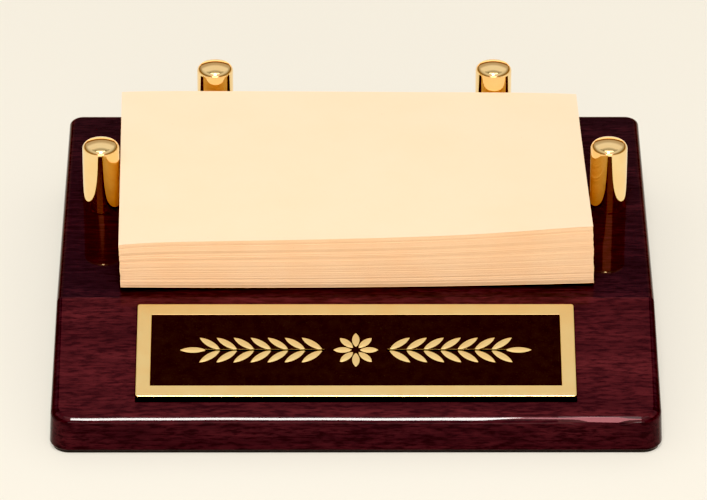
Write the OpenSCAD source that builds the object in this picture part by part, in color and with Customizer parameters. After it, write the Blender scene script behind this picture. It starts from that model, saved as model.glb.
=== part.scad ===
// Desk note-paper holder. A lacquered wooden base has a flat shelf and a sloping front panel.
// Four round posts, screwed from below, keep a stack of loose notes in place on the shelf, and an
// enamelled brass plate is stuck to the slope. The origin is the middle of the underside, at table
// level, with +Y towards the back and +Z up.

/* [Base] */
// Width of the base at its foot
base_w = 193.5; // [188.5:0.5:232]
// Depth of the base, front to back
base_d = 172.5; // [172:0.5:210]
// Height of the shelf above the table, felt included
shelf_h = 28.5; // [26:0.5:40]
// Slope of the front panel, degrees
slope_deg = 18; // [16:1:22]
// Length of the front panel, down the slope
slope_len = 52; // [48:0.5:52]
// Lean of the base's sides, degrees; the base is narrower at the top
side_lean = 2.5; // [0:0.5:4]
// Radius of the base's front corners, seen from above
corner_r = 6.5; // [4:0.5:12]
// Radius of the base's back corners, seen from above
back_corner_r = 4.5; // [4:0.5:12]
// Rounding of the front top edge
front_r = 2.5; // [1:0.1:4]
// Rounding of the back top edge
back_r = 2; // [1:0.1:2]

/* [Felt] */
// Thickness of the felt under the base
felt_t = 1; // [0.6:0.1:2]
// How far the felt stops short of the base's edge
felt_inset = 1; // [1:0.5:3.5]

/* [Posts] */
// Diameter of a post
post_d = 12; // [11:0.1:12.2]
// Height of a post above the shelf, dome included
post_h = 24; // [20:0.5:32]
// Radius of the dome on a post
dome_r = 14; // [12:0.5:30]
// Rounding of the dome's rim
rim_r = 2; // [0.5:0.1:2.5]
// Distance of a side post from the middle
side_post_x = 83; // [83:0.1:86]
// Distance of a back post from the middle
back_post_x = 46.5; // [20:0.5:60]

/* [Screws] */
// Diameter of the screw's shank
screw_d = 4.8; // [4:0.1:5]
// Depth of the counterbore that takes the screw's head, from the wood's underside
counterbore_depth = 11; // [6:0.5:14]
// Diameter of the counterbore
counterbore_d = 11.5; // [11:0.5:12]
// Length of the tapped hole up a post's foot
tapped_depth = 14; // [10:0.5:16]

/* [Note paper] */
// Width of a note
note_w = 152.4; // [140:0.1:152.4]
// Depth of a note
note_d = 101.6; // [90:0.1:101.6]
// Height of the stack below the top note
stack_h = 17; // [2:0.1:22]
// Thickness of the top note
note_t = 0.2; // [0.1:0.05:0.4]
// Gap between the slope's top edge and the stack's front edge
note_gap = 5.8; // [4:0.1:5.8]
// Turn of the stack between the posts, degrees, anticlockwise from above
stack_turn = 1; // [0:0.1:1]

/* [Nameplate] */
// Width of the plate
plate_w = 139; // [130:0.5:150]
// Height of the plate, up the slope
plate_h = 39; // [36:0.5:41]
// Thickness of the plate
plate_t = 1; // [0.8:0.1:1.5]
// Width of the plate's plain border
border = 4.5; // [3:0.1:6]
// Distance from the slope's top edge to the plate's middle
plate_drop = 23.5; // [22:0.5:26]

/* [Hidden] */
$fn = 64;
arc_steps = 8;              // pieces in each rounded stretch of the side outline
foot_r = 1;                 // rounding of the wood's bottom edge
crease_r = 3;               // rounding where the shelf meets the slope
front_y = -base_d / 2;
back_y = base_d / 2;
crease_y = front_y + slope_len * cos(slope_deg);
front_h = shelf_h - slope_len * sin(slope_deg);

post_r = post_d / 2;
rim_x = post_r - rim_r;     // centre of the rim's rounding, from the post's axis
rim_a = asin(rim_x / (dome_r - rim_r));     // slope of the dome where it meets the rim
rim_z = post_h - dome_r + (dome_r - rim_r) * cos(rim_a);    // centre of the rim's rounding
stack_mid_y = crease_y + note_gap + note_d / 2;
post_clearance = 1.3;       // from the stack's back edge, before it is turned, to the back posts
side_post_y = stack_mid_y + 3.9;
back_post_y = stack_mid_y + note_d / 2 + post_clearance + post_r;
POSTS = [
    [-side_post_x, side_post_y],
    [side_post_x, side_post_y],
    [-back_post_x, back_post_y],
    [back_post_x, back_post_y],
];

air_gap = 0.02;             // between the stack and the top note
thread_gap = 0.05;          // between the screw and the tapped hole, on the radius
hole_gap = 0.3;             // between the screw and its hole in the wood, on the radius
ledge_z = felt_t + counterbore_depth;
washer_t = 1.2;
washer_d = 10.6;
head_d = 8.8;
head_h = 3;
head_edge = 0.6;            // chamfer round the head's outer face
slot_w = 1.4;               // cross recess in the head
slot_len = 5;
slot_depth = 1.6;
screw_tip = shelf_h + tapped_depth - 1.5;

tape_t = 0.3;
tape_inset = 3;
etch = 0.25;                // depth of the etched field
enamel_drop = 0.05;         // the enamel's surface below the brass
plate_corner_r = 0.8;
leaf_pairs = 7;
leaf_len = 8.6;
leaf_w = 2.7;
leaf_pitch = 5.4;
leaf_lean = 38;
branch_start = 10;          // from the plate's middle to the first pair of leaves
stem_w = 0.8;
petals = 8;
petal_len = 6;
petal_w = 2.6;

// Points on an arc about c, from angle a0 to angle a1.
function arc(c, r, a0, a1) =
    [for (i = [0:arc_steps]) let (a = a0 + (a1 - a0) * i / arc_steps) c + r * [cos(a), sin(a)]];

// Side outline of the wood as [y, z] points: up the front, up the slope, along the shelf, down the back.
function side_outline() = concat(
    arc([front_y + foot_r, felt_t + foot_r], foot_r, 270, 180),
    arc([front_y + front_r, front_h - front_r * (1 - sin(slope_deg)) / cos(slope_deg)],
        front_r, 180, 90 + slope_deg),
    arc([crease_y + crease_r * tan(slope_deg / 2), shelf_h - crease_r], crease_r, 90 + slope_deg, 90),
    arc([back_y - back_r, shelf_h - back_r], back_r, 90, 0),
    arc([back_y - foot_r, felt_t + foot_r], foot_r, 0, -90)
);

// Front view of the wood, with leaning sides.
function front_outline() =
    let (foot = base_w / 2, top = foot - (shelf_h + 1 - felt_t) * tan(side_lean))
    [[-foot, felt_t], [foot, felt_t], [top, shelf_h + 1], [-top, shelf_h + 1]];

// A w by d rectangle round the origin with corners of radius r.
module rounded_rect(w, d, r) {
    square([w - 2 * r, d], center = true);
    square([w, d - 2 * r], center = true);
    for (x = [-1, 1], y = [-1, 1])
        translate([x * (w / 2 - r), y * (d / 2 - r)]) circle(r);
}

// The base's outline from above, with its own radius at the back corners.
module base_outline(inset = 0) {
    w = base_w / 2 - inset;
    d = base_d / 2 - inset;
    f = corner_r - inset;
    b = back_corner_r - inset;
    translate([-w, f - d]) square([2 * w, 2 * d - f - b]);
    translate([f - w, -d]) square([2 * (w - f), f + 1]);
    translate([b - w, d - b - 1]) square([2 * (w - b), b + 1]);
    for (x = [-1, 1]) {
        translate([x * (w - f), f - d]) circle(f);
        translate([x * (w - b), d - b]) circle(b);
    }
}

// Places its children on the slope: origin at its top edge, +Y up the slope, +Z out of it.
module on_slope() {
    translate([0, crease_y, shelf_h]) rotate([slope_deg, 0, 0]) children();
}

module base_block() {
    color([0.28, 0.05, 0.07])
    difference() {
        intersection() {
            rotate([90, 0, 90]) linear_extrude(base_w, center = true) polygon(side_outline());
            rotate([90, 0, 0]) linear_extrude(base_d + 2, center = true) polygon(front_outline());
            linear_extrude(shelf_h + 1) base_outline();
        }
        for (p = POSTS) translate([p.x, p.y, 0]) {
            cylinder(h = shelf_h + 1, r = screw_d / 2 + hole_gap);
            cylinder(h = ledge_z, d = counterbore_d);
        }
    }
}

module base_felt() {
    color([0.12, 0.12, 0.12])
    linear_extrude(felt_t) base_outline(felt_inset);
}

// Half section of a post, with a dome that runs smoothly into its rounded rim.
module post_section() {
    square([post_r, rim_z]);
    intersection() {
        translate([rim_x, rim_z]) circle(rim_r);
        square([post_r, post_h]);
    }
    intersection() {
        translate([0, post_h - dome_r]) circle(dome_r, $fn = 256);
        polygon([[0, rim_z - 1], [rim_x, rim_z - 1], [rim_x, rim_z],
                 [rim_x + 2 * rim_r * sin(rim_a), rim_z + 2 * rim_r * cos(rim_a)], [0, post_h + 6]]);
    }
}

module post(p) {
    color([0.9, 0.68, 0.3])
    translate([p.x, p.y, shelf_h])
    difference() {
        rotate_extrude() post_section();
        translate([0, 0, -1]) cylinder(h = tapped_depth + 1, r = screw_d / 2 + thread_gap);
    }
}

module screw(p) {
    head_z = ledge_z - washer_t - head_h;
    color([0.72, 0.72, 0.74])
    translate([p.x, p.y, head_z])
    difference() {
        union() {
            cylinder(h = head_edge, d1 = head_d - 2 * head_edge, d2 = head_d);
            translate([0, 0, head_edge]) cylinder(h = head_h - head_edge, d = head_d);
            cylinder(h = screw_tip - head_z, d = screw_d);
        }
        for (turn = [0, 90]) rotate(turn)
            translate([-slot_len / 2, -slot_w / 2, -1]) cube([slot_len, slot_w, slot_depth + 1]);
    }
}

module washer(p) {
    color([0.6, 0.6, 0.62])
    translate([p.x, p.y, ledge_z - washer_t])
    difference() {
        cylinder(h = washer_t, d = washer_d);
        translate([0, 0, -1]) cylinder(h = washer_t + 2, r = screw_d / 2 + hole_gap);
    }
}

// A pointed leaf, len long and w wide, from the origin along +X.
module leaf(len, w) {
    r = (len * len + w * w) / (4 * w);
    translate([len / 2, 0])
    intersection_for(side = [-1, 1]) translate([0, side * (r - w / 2)]) circle(r, $fn = 128);
}

// A laurel branch to each side of a small rosette.
module ornament() {
    branch_end = branch_start + leaf_pairs * leaf_pitch;
    for (i = [0:petals - 1]) rotate(i * 360 / petals) translate([1.2, 0]) leaf(petal_len, petal_w);
    for (side = [0, 1]) mirror([side, 0]) {
        translate([branch_start, -stem_w / 2]) square([branch_end - branch_start, stem_w]);
        translate([branch_end - 0.5, 0]) leaf(leaf_len, leaf_w);
        for (i = [0:leaf_pairs - 1], lean = [-leaf_lean, leaf_lean])
            translate([branch_start + 0.5 + i * leaf_pitch, 0]) rotate(lean) leaf(leaf_len, leaf_w);
    }
}

// The etched field, with the ornament left standing in it.
module field() {
    difference() {
        square([plate_w - 2 * border, plate_h - 2 * border], center = true);
        ornament();
    }
}

module nameplate() {
    color([0.9, 0.75, 0.42])
    on_slope() translate([0, -plate_drop, tape_t]) {
        linear_extrude(plate_t - etch) rounded_rect(plate_w, plate_h, plate_corner_r);
        translate([0, 0, plate_t - etch]) linear_extrude(etch)
        difference() {
            rounded_rect(plate_w, plate_h, plate_corner_r);
            field();
        }
    }
}

module nameplate_enamel() {
    color([0.12, 0.02, 0.02])
    on_slope() translate([0, -plate_drop, tape_t + plate_t - etch])
        linear_extrude(etch - enamel_drop) field();
}

module nameplate_adhesive() {
    color([0.85, 0.85, 0.8])
    on_slope() translate([0, -plate_drop, tape_t / 2])
        cube([plate_w - 2 * tape_inset, plate_h - 2 * tape_inset, tape_t], center = true);
}

// A block of notes, h high, whose underside is z above the shelf.
module notes(z, h) {
    translate([0, stack_mid_y, shelf_h + z]) rotate(stack_turn)
        translate([-note_w / 2, -note_d / 2, 0]) cube([note_w, note_d, h]);
}

module note_stack() {
    color([0.98, 0.9, 0.75]) notes(0, stack_h);
}

module top_note() {
    color([1, 0.94, 0.82]) notes(stack_h + air_gap, note_t);
}

base_block();
base_felt();
post(POSTS[0]);  // post_left
post(POSTS[1]);  // post_right
post(POSTS[2]);  // post_back_left
post(POSTS[3]);  // post_back_right
screw(POSTS[0]);  // screw_left
screw(POSTS[1]);  // screw_right
screw(POSTS[2]);  // screw_back_left
screw(POSTS[3]);  // screw_back_right
washer(POSTS[0]);  // washer_left
washer(POSTS[1]);  // washer_right
washer(POSTS[2]);  // washer_back_left
washer(POSTS[3]);  // washer_back_right
nameplate();
nameplate_enamel();
nameplate_adhesive();
note_stack();
top_note();
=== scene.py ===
# Desk note-paper holder: finished surfaces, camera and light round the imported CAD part.
import math
import random

import bpy
from mathutils import Matrix, Vector
from mathutils.geometry import tessellate_polygon


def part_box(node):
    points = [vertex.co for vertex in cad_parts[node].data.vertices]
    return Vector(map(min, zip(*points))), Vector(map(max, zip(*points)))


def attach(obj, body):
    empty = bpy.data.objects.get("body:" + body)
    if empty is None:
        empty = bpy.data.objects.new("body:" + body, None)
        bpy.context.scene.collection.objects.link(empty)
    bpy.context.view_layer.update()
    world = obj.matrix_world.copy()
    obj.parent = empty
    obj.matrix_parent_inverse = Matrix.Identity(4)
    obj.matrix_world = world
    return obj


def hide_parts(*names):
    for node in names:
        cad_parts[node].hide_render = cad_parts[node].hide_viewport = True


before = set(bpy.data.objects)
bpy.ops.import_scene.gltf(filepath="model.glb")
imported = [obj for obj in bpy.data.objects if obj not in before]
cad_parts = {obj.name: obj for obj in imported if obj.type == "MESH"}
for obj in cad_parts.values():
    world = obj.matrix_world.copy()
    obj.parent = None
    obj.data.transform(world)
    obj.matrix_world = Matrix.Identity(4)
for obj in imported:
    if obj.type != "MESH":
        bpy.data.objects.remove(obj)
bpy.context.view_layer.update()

MM = 0.001
UP = Vector((0, 0, 1))

# Sizes in mm, as in the CAD source.
base_lo, base_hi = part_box("base_block")
HALF_D = (base_hi.y - base_lo.y) / 2 / MM
FOOT_Z = base_lo.z / MM
SHELF = base_hi.z / MM
LEAN = math.radians(2.5)                # of the base's sides
HALF_W = (base_hi.x - base_lo.x) / 2 / MM - (SHELF - FOOT_Z) * math.tan(LEAN)   # at the shelf
SLOPE, SLOPE_LEN = math.radians(18), 52
CREASE_Y = -HALF_D + SLOPE_LEN * math.cos(SLOPE)
FRONT_R, BACK_R = 6.5, 4.5              # corners of the base, seen from above
EDGE_R, SIDE_R, FOOT_R = 2.5, 1.8, 1.0  # rounding of the front, side and back, and bottom edges
LEDGE_Z = FOOT_Z + 11                   # floor of the counterbores
BORE_R, HOLE_R = 5.75, 2.7              # counterbore and screw hole in the wood
POST_R, POST_H, RIM_R, DOME_R = 6, 24, 2, 14
TAP_R, TAP_DEPTH = 2.45, 14             # tapped hole in the post's foot
PLATE_W, PLATE_H, BORDER = 139, 39, 4.5
PLATE_LOW, PLATE_HIGH, ETCH = 0.3, 1.3, 0.25    # heights above the slope, and depth of the field
PLATE_DROP = 23.5                       # from the slope's top edge to the plate's middle


# ---------------------------------------------------------------- mesh building
class Build:
    """Collects faces in mm, each corner with its own normal, and shares equal points."""

    def __init__(self):
        self.points, self.index, self.faces, self.normals, self.mats = [], {}, [], [], []

    def point(self, p):
        key = (round(p[0], 5), round(p[1], 5), round(p[2], 5))
        if key not in self.index:
            self.index[key] = len(self.points)
            self.points.append(Vector(p))
        return self.index[key]

    def face(self, corners, normals, mat=0):
        ids = [self.point(p) for p in corners]
        keep = [i for i in range(len(ids)) if ids[i] != ids[i - 1]]
        if len(keep) > 2 and len({ids[i] for i in keep}) == len(keep):
            self.faces.append([ids[i] for i in keep])
            self.normals.append([Vector(normals[i]).normalized() for i in keep])
            self.mats.append(mat)

    def flat(self, loops, normal, mat=0):
        """A flat face with holes: the first loop is its outline."""
        rings = [[Vector(p) for p in loop] for loop in loops]
        flat = [p for ring in rings for p in ring]
        for tri in tessellate_polygon(rings):
            a, b, c = (flat[i] for i in tri)
            if (b - a).cross(c - a).dot(normal) < 0:
                b, c = c, b
            self.face([a, b, c], [normal] * 3, mat)

    def strip(self, ring_a, ring_b, normals_a, normals_b, mat=0):
        """A band of faces between two closed rings."""
        for i in range(len(ring_a)):
            j = (i + 1) % len(ring_a)
            self.face([ring_a[i], ring_a[j], ring_b[j], ring_b[i]],
                      [normals_a[i], normals_a[j], normals_b[j], normals_b[i]], mat)

    def make(self, name, materials, body, slot, *nodes, warp=None):
        points, normals = self.points, self.normals
        if warp:
            points = [warp(p, None)[0] for p in self.points]
            normals = [[warp(self.points[v], n)[1] for v, n in zip(f, ns)]
                       for f, ns in zip(self.faces, self.normals)]
        mesh = bpy.data.meshes.new(name)
        mesh.from_pydata([p * MM for p in points], [], self.faces)
        mesh.polygons.foreach_set("use_smooth", [True] * len(self.faces))
        mesh.polygons.foreach_set("material_index", self.mats)
        for m in materials:
            mesh.materials.append(m)
        mesh.normals_split_custom_set([n for ns in normals for n in ns])
        mesh.update()
        obj = bpy.data.objects.new(name, mesh)
        bpy.context.scene.collection.objects.link(obj)
        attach(obj, body)
        if nodes:
            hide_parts(*nodes)


def circle(x, y, z, r, n=48):
    return [Vector((x + r * math.cos(t), y + r * math.sin(t), z))
            for t in (2 * math.pi * i / n for i in range(n))]


def radial(n=48, sign=1):
    return [Vector((sign * math.cos(t), sign * math.sin(t), 0))
            for t in (2 * math.pi * i / n for i in range(n))]


# ---------------------------------------------------------------- material nodes
class Mat:
    """A Principled material, with helpers that add and link nodes."""

    def __init__(self, name, **values):
        self.m = bpy.data.materials.new(name)
        self.m.use_nodes = True
        self.t = self.m.node_tree
        self.b = self.t.nodes["Principled BSDF"]
        for key, value in values.items():
            self.b.inputs[key.replace("_", " ")].default_value = value
        self.coord = self.t.nodes.new("ShaderNodeTexCoord").outputs["Object"]

    def link(self, a, b):
        self.t.links.new(a, b)

    def node(self, kind, links=None, **props):
        n = self.t.nodes.new("ShaderNode" + kind)
        for key, value in props.items():
            setattr(n, key, value)
        for key, value in (links or {}).items():
            if hasattr(value, "links"):
                self.link(value, n.inputs[key])
            else:
                n.inputs[key].default_value = value
        return n

    def scaled(self, x, y, z, turn=(0, 0, 0)):
        return self.node("Mapping", {"Vector": self.coord, "Scale": (x, y, z),
                                     "Rotation": turn}).outputs[0]

    def noise(self, vector, detail, rough=0.55, distortion=0.0):
        return self.node("TexNoise", {"Vector": vector, "Scale": 1.0, "Detail": detail,
                                      "Roughness": rough, "Distortion": distortion}).outputs["Fac"]

    def ramp(self, fac, *stops):
        n = self.node("ValToRGB", {"Fac": fac})
        e = n.color_ramp.elements
        while len(e) < len(stops):
            e.new(1)
        for item, (pos, colour) in zip(e, stops):
            item.position = pos
            item.color = (*colour, 1) if hasattr(colour, "__len__") else (colour, colour, colour, 1)
        return n.outputs["Color"]

    def mix(self, fac, a, b):
        n = self.node("Mix", data_type="RGBA")
        for sock, value in ((n.inputs[0], fac), (n.inputs[6], a), (n.inputs[7], b)):
            if hasattr(value, "links"):
                self.link(value, sock)
            else:
                sock.default_value = value if not hasattr(value, "__len__") else (*value, 1)
        return n.outputs[2]

    def math(self, op, a, b=0.0):
        n = self.node("Math", operation=op)
        for sock, value in zip(n.inputs, (a, b)):
            if hasattr(value, "links"):
                self.link(value, sock)
            else:
                sock.default_value = value
        return n.outputs[0]

    def fade(self, value, start, end, low=0.0, high=1.0):
        """Goes from low to high while the value goes from start to end."""
        return self.node("MapRange", {"Value": value, "From Min": start, "From Max": end,
                                      "To Min": low, "To Max": high}).outputs[0]

    def span(self, fac, low, high):
        return self.fade(fac, 0.0, 1.0, low, high)

    def bump(self, height, distance, strength):
        return self.node("Bump", {"Height": height, "Distance": distance,
                                  "Strength": strength}).outputs[0]

    def colour(self, sock):
        self.link(sock, self.b.inputs["Base Color"])

    def rough(self, sock):
        self.link(sock, self.b.inputs["Roughness"])

    def normal(self, sock, coat=False):
        self.link(sock, self.b.inputs["Normal"])
        if coat:
            self.link(sock, self.b.inputs["Coat Normal"])


def painted_plate_shadow(m):
    """Painted shadow: the dark line the nameplate throws on the slope along its edges, widest under
    its lower edge.
    """
    low, high = (CREASE_Y - (PLATE_DROP + d) * math.cos(SLOPE)
                 for d in (PLATE_H / 2, -PLATE_H / 2))
    side = PLATE_W / 2
    at = m.node("SeparateXYZ", {"Vector": m.coord}).outputs
    across = m.fade(m.math("ABSOLUTE", at["X"]), side * MM, (side + 0.3) * MM, 0.92, 0.0)
    under = m.fade(at["Y"], (low - 1.6) * MM, (low - 1.1) * MM)
    over = m.fade(at["Y"], (high - 0.1) * MM, (high + 0.2) * MM, 1.0, 0.0)
    return m.math("MULTIPLY", across, m.math("MULTIPLY", under, over))


def wood(name, coat_ior, painted_shade, cool=1.1, paint_plate_shadow=False):
    """Red-brown veneer with fine dark grain along X, under clear lacquer. The copies for the base's
    faces differ in depth of colour, which is a painted shade making each face lighter or darker by
    how light falls on it, and in how bluish it is (cool)."""
    m = Mat(name, Coat_Weight=1.0, Coat_Roughness=0.015, Coat_IOR=coat_ior, Specular_IOR_Level=0.0)
    figure = m.noise(m.scaled(8, 110, 110), 5, 0.6, 0.7)
    mottle = m.noise(m.scaled(55, 190, 190), 4, 0.6)
    fleck = m.noise(m.scaled(230, 900, 900), 3, 0.6)
    streak = m.noise(m.scaled(60, 1500, 1500), 2, 0.5)
    pores = m.noise(m.scaled(150, 3200, 3200), 1, 0.5)

    def tint(r, g, b):
        return r * painted_shade, g * painted_shade, b * painted_shade * cool

    tone = m.ramp(figure, (0.3, tint(0.062, 0.020, 0.023)), (0.5, tint(0.092, 0.027, 0.031)),
                  (0.7, tint(0.128, 0.037, 0.041)))
    tone = m.mix(m.ramp(mottle, (0.3, 0.6), (0.65, 0.0)), tone, tint(0.050, 0.018, 0.021))
    tone = m.mix(m.ramp(fleck, (0.36, 0.8), (0.58, 0.0)), tone, tint(0.036, 0.014, 0.0165))
    tone = m.mix(m.ramp(streak, (0.33, 0.4), (0.45, 0.0)), tone, tint(0.034, 0.013, 0.015))
    tone = m.mix(m.ramp(pores, (0.28, 0.45), (0.42, 0.0)), tone, tint(0.030, 0.011, 0.013))
    # Painted shadow: the nameplate's shadow darkens the slope to near black under and beside it.
    if paint_plate_shadow:
        tone = m.mix(painted_plate_shadow(m), tone, (0.001, 0.0005, 0.0005))
    m.colour(tone)
    m.rough(m.span(mottle, 0.32, 0.5))
    wave = m.noise(m.scaled(26, 26, 26), 1, 0.4)
    m.normal(m.bump(wave, 0.00025, 0.5), coat=True)
    return m.m


def gold():
    m = Mat("post_gold", Metallic=1.0)
    swirl = m.noise(m.scaled(90, 90, 5200), 2, 0.6)
    cloud = m.noise(m.scaled(160, 160, 160), 4, 0.6)
    scratch = m.noise(m.scaled(2500, 2500, 300), 3, 0.7)
    m.colour(m.mix(m.ramp(cloud, (0.35, 0.0), (0.7, 1.0)), (1.0, 0.70, 0.33), (1.0, 0.75, 0.38)))
    m.rough(m.span(m.math("MULTIPLY", cloud, scratch), 0.03, 0.16))
    m.normal(m.bump(swirl, 0.00001, 0.25))
    return m.m


def brass():
    m = Mat("plate_brass", Metallic=1.0)
    brushed = m.noise(m.scaled(60, 6000, 6000), 3, 0.6)
    cloud = m.noise(m.scaled(120, 120, 120), 4, 0.6)
    m.colour(m.mix(m.ramp(cloud, (0.35, 0.0), (0.7, 1.0)), (1.0, 0.71, 0.31), (1.0, 0.76, 0.35)))
    m.rough(m.span(brushed, 0.32, 0.46))
    m.normal(m.bump(brushed, 0.00002, 0.3))
    return m.m


def enamel(name):
    m = Mat(name, Coat_Weight=1.0, Coat_Roughness=0.04, Coat_IOR=1.22, Specular_IOR_Level=0.0)
    cloud = m.noise(m.scaled(300, 300, 300), 4, 0.6)
    speck = m.noise(m.scaled(2400, 2400, 2400), 1, 0.5)
    m.colour(m.mix(m.ramp(speck, (0.62, 0.0), (0.75, 0.5)),
                   m.ramp(cloud, (0.3, (0.021, 0.0105, 0.010)), (0.7, (0.031, 0.015, 0.0135))),
                   (0.05, 0.028, 0.018)))
    m.rough(m.span(cloud, 0.25, 0.4))
    m.normal(m.bump(m.noise(m.scaled(700, 700, 700), 2), 0.00002, 0.3), coat=True)
    return m.m


def paper(name, light, dark):
    m = Mat(name, Specular_IOR_Level=0.1, Sheen_Weight=0.05)
    cloud = m.noise(m.scaled(35, 35, 35), 5, 0.6)
    fibre = m.noise(m.scaled(900, 2600, 900, (0, 0, 0.6)), 3, 0.6)
    fleck = m.noise(m.scaled(1500, 700, 1500, (0, 0, 1.1)), 2, 0.5)
    tone = m.mix(m.ramp(cloud, (0.35, 0.0), (0.65, 1.0)), light, dark)
    tone = m.mix(m.ramp(fibre, (0.3, 0.35), (0.5, 0.0)), tone, dark)
    tone = m.mix(m.ramp(fleck, (0.76, 0.0), (0.82, 0.5)), tone, (0.5, 0.33, 0.17))
    m.colour(tone)
    m.rough(m.span(fibre, 0.7, 0.9))
    m.normal(m.bump(fibre, 0.00003, 0.35))
    return m.m


def felt():
    m = Mat("felt", Sheen_Weight=0.4, Sheen_Roughness=0.6, Specular_IOR_Level=0.1)
    hair = m.noise(m.scaled(1800, 1800, 1800), 5, 0.7, 0.8)
    m.colour(m.ramp(hair, (0.3, 0.006), (0.7, 0.035)))
    m.rough(m.span(hair, 0.85, 1.0))
    m.normal(m.bump(hair, 0.0002, 0.8))
    return m.m


def steel():
    m = Mat("zinc_steel", Metallic=1.0)
    cloud = m.noise(m.scaled(500, 500, 500), 4, 0.6)
    lines = m.noise(m.scaled(300, 300, 4000), 2, 0.6)
    m.colour(m.ramp(cloud, (0.3, (0.52, 0.53, 0.55)), (0.7, (0.66, 0.66, 0.63))))
    m.rough(m.span(cloud, 0.25, 0.45))
    m.normal(m.bump(lines, 0.00003, 0.4))
    return m.m


def film():
    m = Mat("adhesive_film", Specular_IOR_Level=0.3)
    cloud = m.noise(m.scaled(200, 200, 200), 4, 0.6)
    m.colour(m.ramp(cloud, (0.3, (0.45, 0.43, 0.38)), (0.7, (0.56, 0.54, 0.48))))
    m.rough(m.span(cloud, 0.35, 0.6))
    m.normal(m.bump(cloud, 0.00005, 0.4))
    return m.m


# ---------------------------------------------------------------- base
def core_top(y, r):
    """Height of the core, the base less its edge rounding, under the shelf or the slope."""
    if y >= CREASE_Y + r * math.tan(SLOPE / 2):
        return SHELF - r
    return SHELF + (y - CREASE_Y) * math.tan(SLOPE) - r / math.cos(SLOPE)


def lean(p, n):
    """A point and its normal, moved for the leaning sides: the base is wider at its foot."""
    k = math.tan(LEAN) / HALF_W
    a = 1 + k * (SHELF - p.z)
    if n is not None:
        n = Vector((n.x / a, n.y, n.z + k * p.x * n.x / a)).normalized()
    return Vector((p.x * a, p.y, p.z)), n


def edge_shade(x, t):
    """The front edge's normal, a share t of the way up its rounding, x from -1 to 1 along it. The
    lacquer lies a little unevenly, and it is flattened near the right end."""
    a = t * (math.pi / 2 - SLOPE)
    sway = 0.03 * math.sin(5.1 * x + 0.6) + 0.014 * math.sin(17 * x) + 0.05 * max(0, -x - 0.8) * 5
    flat = (0.2 + 0.72 * math.exp(-((x - 0.87) / 0.11) ** 4)
            + 0.2 * math.exp(-((x - 0.5) / 0.3) ** 2))
    middle = math.radians(45)
    inside = math.sin(math.pi * t) ** 0.3 * min(1, 12 * (1 - abs(x)) + 0.1) if 0 < t < 1 else 0
    a = a + inside * (sway * (1 - flat) + min(flat, 0.92) * (middle - a))
    return Vector((0, -math.cos(a), math.sin(a)))


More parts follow.
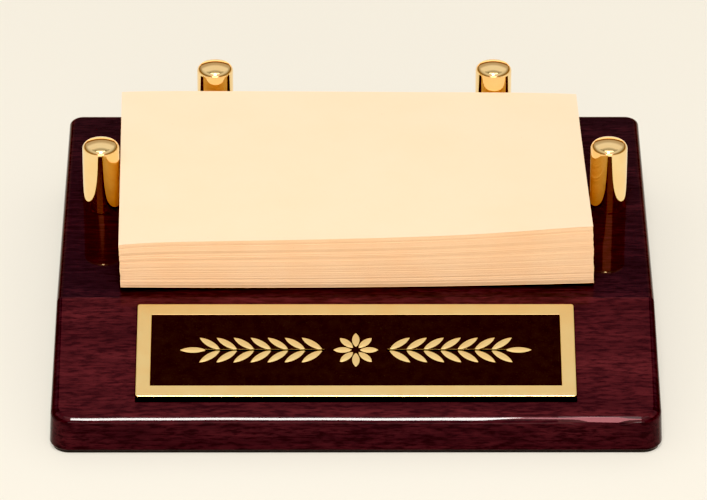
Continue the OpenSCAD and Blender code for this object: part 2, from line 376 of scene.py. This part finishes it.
def make_base(materials):
    b = Build()
    slope_n = Vector((0, -math.sin(SLOPE), math.cos(SLOPE)))
    hx = HALF_W - FRONT_R
    crease = CREASE_Y + SIDE_R * math.tan(SLOPE / 2)
    steps, turns, creases, spans = 16, 14, 8, 96
    # Going round the core's top edge: centre, facet normal, outward normal, radius of the rounding.
    ring = []

    def corner(sx, sy, a0):
        corner_r, r = (FRONT_R, EDGE_R) if sy < 0 else (BACK_R, SIDE_R)
        for i in range(steps + 1):
            a = math.radians(a0 + 90 * i / steps)
            out = Vector((math.cos(a), math.sin(a), 0))
            x = sx * (HALF_W - corner_r) + (corner_r - r) * out.x
            y = sy * (HALF_D - corner_r) + (corner_r - r) * out.y
            ring.append((Vector((x, y, core_top(y, r))), slope_n if sy < 0 else UP, out, r))

    def side(sx, upward):
        for i in range(creases + 1):
            t = (i if upward else creases - i) / creases * SLOPE
            n = Vector((0, -math.sin(SLOPE - t), math.cos(SLOPE - t)))
            ring.append((Vector((sx * (HALF_W - SIDE_R), crease, SHELF - SIDE_R)), n,
                         Vector((sx, 0, 0)), SIDE_R))

    corner(-1, -1, 180)
    front_a = len(ring) - 1
    y = EDGE_R - HALF_D
    for i in range(1, spans):
        ring.append((Vector((hx * (2 * i / spans - 1), y, core_top(y, EDGE_R))), slope_n,
                     Vector((0, -1, 0)), EDGE_R))
    front_b = len(ring)
    corner(1, -1, 270)
    side(1, True)
    corner(1, 1, 0)
    corner(-1, 1, 90)
    side(-1, False)
    c0 = 2 * (steps + 1) + spans - 1
    c1 = c0 + creases
    c2 = c1 + 2 * (steps + 1)
    # The rounding, in rows from the top facet down to the wall.
    rows, dirs = [], []
    for k in range(turns + 1):
        row = []
        for _, top, out, _ in ring:
            whole = top.angle(out)
            t = k / turns
            row.append((top * math.sin((1 - t) * whole) + out * math.sin(t * whole))
                       / math.sin(whole))
        dirs.append(row)
        rows.append([c + r * d for (c, _, _, r), d in zip(ring, row)])
    # Materials: 0 sides, 1 glossy front edge, 2 front, 3 slope, 4 shelf. They are lit and shaded
    # copies of the wood with painted shade: the sides, shelf and front are darker, and the slope
    # and glossy front edge are lighter. The last steps of the front corners belong to the sides, so
    # painted shade darkens them too, and the glossy strip is wider near the right end.
    seam = 5
    front = range(seam, c0 - seam)
    shades = [[edge_shade(c[0].x / hx, 1 - k / turns) if front_a <= i <= front_b else d
               for i, (c, d) in enumerate(zip(ring, row))] for k, row in enumerate(dirs)]
    for k in range(turns):
        for i in range(len(ring)):
            j = (i + 1) % len(ring)
            glossy = range(1, 10) if ring[i][0].x > 0.7 * hx else range(3, 7)
            b.face([rows[k + 1][i], rows[k + 1][j], rows[k][j], rows[k][i]],
                   [shades[k + 1][i], shades[k + 1][j], shades[k][j], shades[k][i]],
                   0 if i not in front else 1 if k in glossy and front_a <= i < front_b
                   else 3 if 2 * k < turns else 2)
    # The wall, the small rounding at the foot, and the underside with its counterbores.
    outs = [out for _, _, out, _ in ring]
    wall = [Vector((p.x, p.y, FOOT_Z + FOOT_R)) for p in rows[-1]]
    for i in range(len(ring)):
        j = (i + 1) % len(ring)
        b.face([wall[i], wall[j], rows[-1][j], rows[-1][i]], [outs[i], outs[j], outs[j], outs[i]],
               2 if i in front else 0)
    last, last_n = wall, outs
    for i in range(1, 5):
        a = math.radians(90 * i / 4)
        inset, rise = FOOT_R * (1 - math.cos(a)), FOOT_R * (1 - math.sin(a))
        nxt = [Vector((p.x, p.y, FOOT_Z + rise)) - o * inset for p, o in zip(wall, outs)]
        nxt_n = [o * math.cos(a) - UP * math.sin(a) for o in outs]
        b.strip(nxt, last, nxt_n, last_n)
        last, last_n = nxt, nxt_n
    holes = [((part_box(n)[0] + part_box(n)[1]) / 2 / MM).xy
             for n in ("post_left", "post_right", "post_back_left", "post_back_right")]
    b.flat([last, *(circle(x, y, FOOT_Z, BORE_R) for x, y in holes)], -UP)
    for x, y in holes:
        inward = radial(sign=-1)
        down = [-UP] * len(inward)
        b.strip(circle(x, y, LEDGE_Z, BORE_R), circle(x, y, FOOT_Z, BORE_R), inward, inward)
        b.strip(circle(x, y, LEDGE_Z, HOLE_R), circle(x, y, LEDGE_Z, BORE_R), down, down)
        b.strip(circle(x, y, SHELF, HOLE_R), circle(x, y, LEDGE_Z, HOLE_R), inward, inward)
    # Shelf, slope and the crease between them.
    rim = rows[0]
    b.flat([rim[c1:c2 + 1], *(circle(x, y, SHELF, HOLE_R) for x, y in holes)], UP, 4)
    b.flat([rim[:c0 + 1] + rim[c2 + creases:]], slope_n, 3)
    for i in range(creases):
        right, left = rim[c0 + i:c0 + i + 2], rim[c2 + creases - i - 1:c2 + creases - i + 1]
        n0, n1 = dirs[0][c0 + i], dirs[0][c0 + i + 1]
        b.face([left[1], right[0], right[1], left[0]], [n0, n0, n1, n1],
               3 if 2 * i < creases else 4)
    b.make("wood_base", materials, "base", "lacquered_wood", "base_block", warp=lean)


# ---------------------------------------------------------------- posts
def make_post(name, node, material, n=128):
    lo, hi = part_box(node)
    x, y, z = (lo.x + hi.x) / 2 / MM, (lo.y + hi.y) / 2 / MM, lo.z / MM
    rim_x, soft = POST_R - RIM_R, 0.25
    edge = math.asin(rim_x / (DOME_R - RIM_R))
    rim_z = POST_H - DOME_R + (DOME_R - RIM_R) * math.cos(edge)
    # Smooth stretches of the profile, each point with its radius, height and normal: tapped hole,
    # foot, foot's rounding, side, rim and dome.
    runs = [
        [(TAP_R, TAP_DEPTH, -1, 0), (TAP_R, 0, -1, 0)],
        [(TAP_R, 0, 0, -1), (POST_R - soft, 0, 0, -1)],
        [(POST_R - soft + soft * math.sin(a), soft - soft * math.cos(a), math.sin(a), -math.cos(a))
         for a in (math.radians(90 * i / 4) for i in range(5))],
        [(POST_R, soft, 1, 0), (POST_R, rim_z, 1, 0)],
        [(rim_x + RIM_R * math.cos(a), rim_z + RIM_R * math.sin(a), math.cos(a), math.sin(a))
         for a in ((math.pi / 2 - edge) * i / 14 for i in range(15))],
        [(DOME_R * math.sin(a), POST_H - DOME_R + DOME_R * math.cos(a), math.sin(a), math.cos(a))
         for a in (edge * (1 - i / 12) for i in range(13))],
    ]

    def tilted(nr, nz):
        return [d * nr + UP * nz for d in radial(n)]

    b = Build()
    for run in runs:
        for (r0, z0, nr0, nz0), (r1, z1, nr1, nz1) in zip(run, run[1:]):
            b.strip(circle(x, y, z + z0, r0, n), circle(x, y, z + z1, r1, n),
                    tilted(nr0, nz0), tilted(nr1, nz1))
    b.flat([circle(x, y, z + TAP_DEPTH, TAP_R, n)], -UP)
    b.make(name, [material], "base", "post_gold", node)


# ---------------------------------------------------------------- nameplate
def on_slope(x, y, z):
    """A point on the plate: x across, y up the slope, z out of it, from the plate's middle."""
    up = Vector((0, math.cos(SLOPE), math.sin(SLOPE)))
    out = Vector((0, -math.sin(SLOPE), math.cos(SLOPE)))
    return Vector((x, CREASE_Y, SHELF)) + up * (y - PLATE_DROP) + out * z


def slope_dir(x, y, z):
    return on_slope(x, y, z) - on_slope(0, 0, 0)


def rounded(w, h, r, n=6):
    """The outline of a rounded rectangle, each point with its outward direction."""
    points = []
    for sx, sy, a0 in ((1, -1, 270), (1, 1, 0), (-1, 1, 90), (-1, -1, 180)):
        for i in range(n + 1):
            a = math.radians(a0 + 90 * i / n)
            points.append((sx * (w / 2 - r) + r * math.cos(a), sy * (h / 2 - r) + r * math.sin(a),
                           math.cos(a), math.sin(a)))
    return points


def make_plate(materials):
    b = Build()
    low, high, etch = PLATE_LOW, PLATE_HIGH, ETCH
    outer, bev, drop = rounded(PLATE_W, PLATE_H, 0.8), 0.24, 0.11
    inner = rounded(PLATE_W - 2 * BORDER, PLATE_H - 2 * BORDER, 0.15, 2)

    def loop(points, inset, z):
        return [on_slope(x - nx * inset, y - ny * inset, z) for x, y, nx, ny in points]

    def dirs(points, side, out):
        return [slope_dir(nx * side, ny * side, out) for _, _, nx, ny in points]

    b.flat([loop(outer, 0, low)], slope_dir(0, 0, -1))
    wall = dirs(outer, 1, 0)
    b.strip(loop(outer, 0, low), loop(outer, 0, high - drop), wall, wall, mat=1)
    slant = dirs(outer, drop, bev)
    b.strip(loop(outer, 0, high - drop), loop(outer, bev, high), slant, slant)
    edge = 0.12
    b.flat([loop(outer, bev, high), loop(inner, -edge, high)], slope_dir(0, 0, 1))
    slant = dirs(inner, -0.7, 0.7)
    b.strip(loop(inner, -edge, high), loop(inner, 0, high - edge), slant, slant)
    wall = dirs(inner, -1, 0)
    b.strip(loop(inner, 0, high - edge), loop(inner, 0, high - etch), wall, wall)
    b.flat([loop(inner, 0, high - etch)], slope_dir(0, 0, 1))

    def leaf(x, y, turn, mirror, length, width, drop):
        """A pointed leaf with a raised midrib, standing in the etched field."""
        r = (length ** 2 + width ** 2) / (4 * width)
        n = 14
        c, s = math.cos(turn), math.sin(turn)

        def place(u, v, z):
            return on_slope(mirror * (x + u * c - v * s), y + u * s + v * c, z)

        rows = []
        for i in range(n + 1):
            u = length * i / n
            half = max(math.sqrt(max(r * r - (u - length / 2) ** 2, 0)) - (r - width / 2), 0)
            rows.append((u, half))
        low_z, side_z, top_z = high - etch, high - 0.11 - drop, high - 0.01 - drop
        for side in (-1, 1):
            for (u0, h0), (u1, h1) in zip(rows, rows[1:]):
                edge0, edge1 = place(u0, side * h0, side_z), place(u1, side * h1, side_z)
                rib0 = place(u0, 0, top_z - 0.1 * (1 - h0 / (width / 2)) ** 2)
                rib1 = place(u1, 0, top_z - 0.1 * (1 - h1 / (width / 2)) ** 2)
                base0, base1 = place(u0, side * h0, low_z), place(u1, side * h1, low_z)
                for quad in ([rib0, edge0, edge1, rib1], [edge0, base0, base1, edge1]):
                    if side * mirror > 0:
                        quad.reverse()
                    normal = (quad[1] - quad[0]).cross(quad[2] - quad[0])
                    if normal.length < 1e-9:
                        normal = (quad[2] - quad[0]).cross(quad[3] - quad[0])
                    if normal.length > 1e-9:
                        b.face(quad, [normal] * 4)

    # The rosette, then a branch to each side: its last leaf, its pairs of leaves and its stem.
    for i in range(8):
        a = 2 * math.pi * i / 8
        leaf(1.2 * math.cos(a), 1.2 * math.sin(a), a, 1, 6, 2.6, 0)
    start, pitch, pairs = 10, 5.4, 7
    end = start + pairs * pitch
    leaf_l, leaf_w = 8.6, 2.7
    for mirror in (-1, 1):
        leaf(end - 0.5, 0, 0, mirror, leaf_l, leaf_w, 0.004)
        for i in range(pairs):
            for j, turn in enumerate((-38, 38)):
                leaf(start + 0.5 + i * pitch, 0, math.radians(turn), mirror, leaf_l, leaf_w,
                     0.003 * j + 0.001)
        n = 8
        for k in range(n):
            a0, a1 = (math.pi * q / n for q in (k, k + 1))
            p = [on_slope(mirror * xx, 0.4 * math.cos(a), high - 0.16 + 0.13 * math.sin(a))
                 for xx in (start, end) for a in (a0, a1)]
            normals = [slope_dir(0, math.cos(a), math.sin(a)) for a in (a0, a1)]
            quad, ns = [p[0], p[1], p[3], p[2]], [normals[0], normals[1], normals[1], normals[0]]
            if mirror > 0:
                quad.reverse()
                ns.reverse()
            b.face(quad, ns)
    b.make("plate", materials, "base", "plate_brass", "nameplate")


def make_enamel(material):
    """The dark filling of the etched field, drawn up a little at its rim."""
    b = Build()
    w, h = PLATE_W - 2 * BORDER, PLATE_H - 2 * BORDER
    z0, z1, drawn = PLATE_HIGH - ETCH + 0.001, PLATE_HIGH - 0.1, 0.03
    outline = [(sx * w / 2, sy * h / 2) for sx, sy in ((1, -1), (1, 1), (-1, 1), (-1, -1))]
    nx, ny = 26, 8
    out = slope_dir(0, 0, 1)

    def at(i, j):
        x, y = (i / nx - 0.5) * w, (j / ny - 0.5) * h
        rim = i in (0, nx) or j in (0, ny)
        return on_slope(x, y, z1 + (drawn if rim else 0))

    for i in range(nx):
        for j in range(ny):
            quad = [at(i, j), at(i + 1, j), at(i + 1, j + 1), at(i, j + 1)]
            b.face(quad, [out] * 4)
    for (x0, y0), (x1, y1) in zip(outline, outline[1:] + outline[:1]):
        count = nx if y0 == y1 else ny
        side = slope_dir(y1 - y0, x0 - x1, 0)
        for k in range(count):
            xa, ya = x0 + (x1 - x0) * k / count, y0 + (y1 - y0) * k / count
            xb, yb = x0 + (x1 - x0) * (k + 1) / count, y0 + (y1 - y0) * (k + 1) / count
            b.face([on_slope(xa, ya, z0), on_slope(xb, yb, z0), on_slope(xb, yb, z1 + drawn),
                    on_slope(xa, ya, z1 + drawn)], [side] * 4)
    b.flat([[on_slope(x, y, z0) for x, y in outline]], -out)
    b.make("plate_enamel", [material], "base", "enamel", "nameplate_enamel")


# ---------------------------------------------------------------- note paper
NOTE_W, NOTE_D, TURN = 152.4, 101.6, math.radians(1)
stack_lo, stack_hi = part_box("note_stack")
STACK_X, STACK_Y = (stack_lo.x + stack_hi.x) / 2 / MM, (stack_lo.y + stack_hi.y) / 2 / MM


def pad_height(u, v, share, curl_share):
    """Height above the shelf of a sheet lying a share of the way up the pad. The pad's right front
    corner curls up, and its front edge stands a little off the shelf."""
    front = min(max((NOTE_D / 2 - v) / NOTE_D, 0), 1)
    side = u / (NOTE_W / 2)
    lift = (0.35 + 0.8 * side ** 2) * front ** 2 + 0.02
    flat = 15.45 + 1.15 * (1 - front) * (1 - side) + 0.6 * front * (side + 1) / 2
    flat += (0.5 + 0.6 * front) * (1 - side ** 8)
    curl = 2.0 * front ** 1.3 * (side + 1) / 2 + 2.7 * front ** 2 * max(0, (u + 20) / 96.2) ** 4
    return lift + flat * share + curl * curl_share


def sheet(b, lower, upper, thick, dx, dy, turn, shrink, nu=24, nv=10):
    """One sheet of paper, or a few. Its underside lies at the pad_height of the two shares in
    lower, and its top lies thick above that of upper."""
    grid, over = [], []
    for j in range(nv + 1):
        for i in range(nu + 1):
            u, v = (i / nu - 0.5) * NOTE_W, (j / nv - 0.5) * NOTE_D
            x = STACK_X + dx + u * shrink * math.cos(turn) - v * math.sin(turn)
            y = STACK_Y + dy + u * math.sin(turn) + v * math.cos(turn)
            grid.append(Vector((x, y, SHELF + pad_height(u, v, *lower))))
            over.append(Vector((x, y, SHELF + pad_height(u, v, *upper) + thick)))

    def at(i, j):
        return grid[j * (nu + 1) + i]

    def top(i, j):
        return over[j * (nu + 1) + i]

    normals = {}
    for j in range(nv + 1):
        for i in range(nu + 1):
            ex = at(min(i + 1, nu), j) - at(max(i - 1, 0), j)
            ey = at(i, min(j + 1, nv)) - at(i, max(j - 1, 0))
            normals[i, j] = ex.cross(ey).normalized()
    for j in range(nv):
        for i in range(nu):
            ids = [(i, j), (i + 1, j), (i + 1, j + 1), (i, j + 1)]
            b.face([top(*q) for q in ids], [normals[q] for q in ids])
            b.face([at(*q) for q in reversed(ids)], [-normals[q] for q in reversed(ids)])
    rim = ([(i, 0) for i in range(nu)] + [(nu, j) for j in range(nv)]
           + [(i, nv) for i in range(nu, 0, -1)] + [(0, j) for j in range(nv, 0, -1)])
    for p, q in zip(rim, rim[1:] + rim[:1]):
        side = (at(*q) - at(*p)).cross(UP)
        b.face([at(*p), at(*q), top(*q), top(*p)], [side] * 4, 1)


def make_notes(top_paper, edge_paper):
    rng = random.Random(7)
    count = 112
    gaps = [rng.random() ** 3 + 0.25 for _ in range(count)]
    curl_share = [sum(gaps[:k]) / sum(gaps) for k in range(count + 1)]
    b = Build()
    dx = dy = 0.0
    for k in range(count):
        dx = max(-0.1, min(0.25, 0.8 * dx + rng.uniform(-0.07, 0.07)))
        dy = max(-0.25, min(0.18, 0.8 * dy + rng.uniform(-0.08, 0.08)))
        turn = TURN + rng.uniform(-0.0004, 0.0004)
        share, extra = k / count, curl_share[k]
        upper = share + 0.93 / count, extra + 0.8 * (curl_share[k + 1] - extra)
        sheet(b, (share, extra), upper, 0, dx - 0.25 - 0.55 * share, dy, turn,
              0.9955 - 0.002 * share)
    b.make("note_sheets", [top_paper, edge_paper], "stack", "note_paper", "note_stack")
    b = Build()
    sheet(b, (1, 1), (1, 1), 0.13, -0.75, -0.05, TURN, 0.9935, 48, 20)
    b.make("loose_note", [top_paper, edge_paper], "note", "note_paper", "top_note")


# ---------------------------------------------------------------- everything in place
post_gold, plate_brass = gold(), brass()
# Painted shade: the base's five wood materials are lit and shaded copies of one veneer, and the
# slope's copy also carries the nameplate's painted shadow.
make_base([wood("wood_sides", 1.2, 0.56, 1.2), wood("wood_front_edge", 1.5, 0.75),
           wood("wood_front", 1.22, 0.68, 1.2), wood("wood_slope", 1.26, 0.95, 1.1, True),
           wood("wood_shelf", 1.2, 0.46, 1.45)])
for name in ("left", "right", "back_left", "back_right"):
    make_post("gold_post_" + name, "post_" + name, post_gold)
make_plate([plate_brass, enamel("plate_edge")])
make_enamel(enamel("enamel"))
make_notes(paper("note_paper", (0.98, 0.79, 0.57), (0.97, 0.775, 0.545)),
           paper("note_paper_edges", (0.96, 0.70, 0.44), (0.94, 0.64, 0.375)))

plain = {"base_felt": felt(), "nameplate_adhesive": film()}
metal = steel()
for node_name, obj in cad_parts.items():
    if node_name.startswith(("screw", "washer")):
        plain[node_name] = metal
    if node_name in plain:
        obj.data.materials.clear()
        obj.data.materials.append(plain[node_name])

# ---------------------------------------------------------------- stage, light and camera
floor_m = Mat("stage_floor", Specular_IOR_Level=0.0)
patches = floor_m.noise(floor_m.scaled(1.2, 1.2, 1.2), 2, 0.4)
floor_m.colour(floor_m.ramp(patches, (0.3, (0.475, 0.47, 0.42)), (0.7, (0.495, 0.49, 0.445))))
floor_m.rough(floor_m.span(patches, 0.85, 0.95))
# The floor glows a little by itself, except under the base.
floor_m.b.inputs["Emission Color"].default_value = (0.955, 0.922, 0.81, 1)
apart = floor_m.node("SeparateXYZ", {"Vector": floor_m.node("VectorMath", {"Vector": floor_m.coord},
                                                          operation="ABSOLUTE").outputs[0]})
reach = floor_m.math("MAXIMUM", floor_m.math("DIVIDE", apart.outputs[0], base_hi.x),
                     floor_m.math("DIVIDE", apart.outputs[1], base_hi.y))
floor_m.link(floor_m.fade(reach, 0.93, 0.965, 0.0, 0.43), floor_m.b.inputs["Emission Strength"])
b = Build()
b.flat([circle(0, 0, 0, 60000, 128)], UP)
mesh = bpy.data.meshes.new("floor")
mesh.from_pydata([p * MM for p in b.points], [], b.faces)
mesh.materials.append(floor_m.m)
floor = bpy.data.objects.new("floor", mesh)
bpy.context.scene.collection.objects.link(floor)

# The surroundings by height in degrees: tan low down with a brown band above it, brightest at half
# height and dark overhead. All of it is dimmer to the sides.
world = bpy.data.worlds.new("studio")
bpy.context.scene.world = world
world.use_nodes = True
sky, wn = world.node_tree, world.node_tree.nodes
split = wn.new("ShaderNodeSeparateXYZ")
sky.links.new(wn.new("ShaderNodeTexCoord").outputs["Generated"], split.inputs[0])
ramp = wn.new("ShaderNodeValToRGB")
sky.links.new(split.outputs["Z"], ramp.inputs["Fac"])
tan, brown, cream, pale = (1, 0.70, 0.45), (1, 0.52, 0.32), (1, 0.84, 0.72), (1, 0.965, 0.90)
glow = ((0, 0.95, (1, 0.95, 0.81)), (1.5, 0.85, tan), (9, 0.80, tan), (13, 0.24, brown),
        (19, 0.24, brown), (24, 0.50, cream), (32, 0.50, cream), (41, 0.85, pale), (57, 0.85, pale),
        (62, 0.46, pale), (68, 0.46, pale), (73, 0.14, pale), (90, 0.12, pale))
stops = ramp.color_ramp.elements
while len(stops) < len(glow):
    stops.new(1)
for item, (degrees, level, tint) in zip(stops, glow):
    item.position = math.sin(math.radians(degrees))
    item.color = (*(level * c for c in tint), 1)
sky.links.new(ramp.outputs["Color"], wn["Background"].inputs["Color"])
sideways = wn.new("ShaderNodeMath")
sideways.operation = "ABSOLUTE"
sky.links.new(split.outputs["X"], sideways.inputs[0])
dimmed = wn.new("ShaderNodeMapRange")
dimmed.inputs["From Min"].default_value, dimmed.inputs["From Max"].default_value = 0.35, 0.8
dimmed.inputs["To Min"].default_value, dimmed.inputs["To Max"].default_value = 1.0, 0.7
sky.links.new(sideways.outputs[0], dimmed.inputs["Value"])
sky.links.new(dimmed.outputs[0], wn["Background"].inputs["Strength"])


def area(name, x, reach, elevation, size, watts, colour=(1, 0.97, 0.92)):
    """A rectangular light aimed at the holder, at x and reach metres away. Its elevation in degrees
    is counted from the front, so past 90 it is behind."""
    light = bpy.data.lights.new(name, "AREA")
    light.shape = "RECTANGLE"
    light.size, light.size_y = size
    light.energy, light.color = watts, colour
    obj = bpy.data.objects.new(name, light)
    bpy.context.scene.collection.objects.link(obj)
    up = math.radians(elevation)
    obj.location = (x, -reach * math.cos(up), reach * math.sin(up))
    obj.rotation_mode = "QUATERNION"
    aim = Vector((0, 0, 0.02)) - obj.location
    obj.rotation_quaternion = aim.to_track_quat("-Z", "Y")


area("key_light", -0.048, 2.0, 60, (0.30, 0.85), 18)
area("accent_light", 0.152, 2.0, 60, (0.07, 0.85), 1.6, (1, 0.30, 0.33))
area("front_fill", 0, 2.4, 16, (1.6, 0.5), 8)
area("back_fill", 0, 2.4, 172, (2.2, 0.4), 2.8, (1, 0.60, 0.30))
area("warm_fill", 0, 2.4, 30, (2.4, 0.3), 2.8, (1, 0.45, 0.42))
sun = bpy.data.lights.new("top_light", "SUN")
sun.energy, sun.angle, sun.color = 0.52, math.radians(36), (1, 0.98, 0.94)
sun_obj = bpy.data.objects.new("top_light", sun)
bpy.context.scene.collection.objects.link(sun_obj)
sun_obj.rotation_euler = (math.radians(9), 0, 0)

# The camera that was fitted to the photograph's edges, aimed near the shelf's middle. In mm.
AZ, EL, ROLL = math.radians(0.271), math.radians(29.54), math.radians(0.113)
DIST = 2021.9
forward = Vector((math.sin(AZ) * math.cos(EL), math.cos(AZ) * math.cos(EL), -math.sin(EL)))
right = Vector((math.cos(AZ), -math.sin(AZ), 0))
upward = right.cross(forward)
cam_x = right * math.cos(ROLL) + upward * math.sin(ROLL)
cam_y = upward * math.cos(ROLL) - right * math.sin(ROLL)
target = Vector((-0.39, -6.36, SHELF)) - cam_x * 0.16 + cam_y * 0.16
cam = bpy.data.objects.new("camera", bpy.data.cameras.new("camera"))
bpy.context.scene.collection.objects.link(cam)
cam.data.sensor_width, cam.data.lens = 36, 317.7
cam.rotation_mode = "QUATERNION"
cam.rotation_quaternion = Matrix((cam_x, cam_y, -forward)).transposed().to_quaternion()
cam.location = (target - forward * DIST) * MM
cam.data.clip_start, cam.data.clip_end = 0.1, 150
bpy.context.scene.camera = cam

# A tone curve that deepens the darkest tones.
view = bpy.context.scene.view_settings
view.view_transform = "Standard"
view.look = "None"
view.use_curve_mapping = True
curve = view.curve_mapping.curves[3]
for x, y in ((0.02, 0.0), (0.05, 0.02), (0.12, 0.105), (0.25, 0.25)):
    curve.points.new(x, y)
for point in curve.points:
    point.handle_type = "VECTOR"
view.curve_mapping.update()
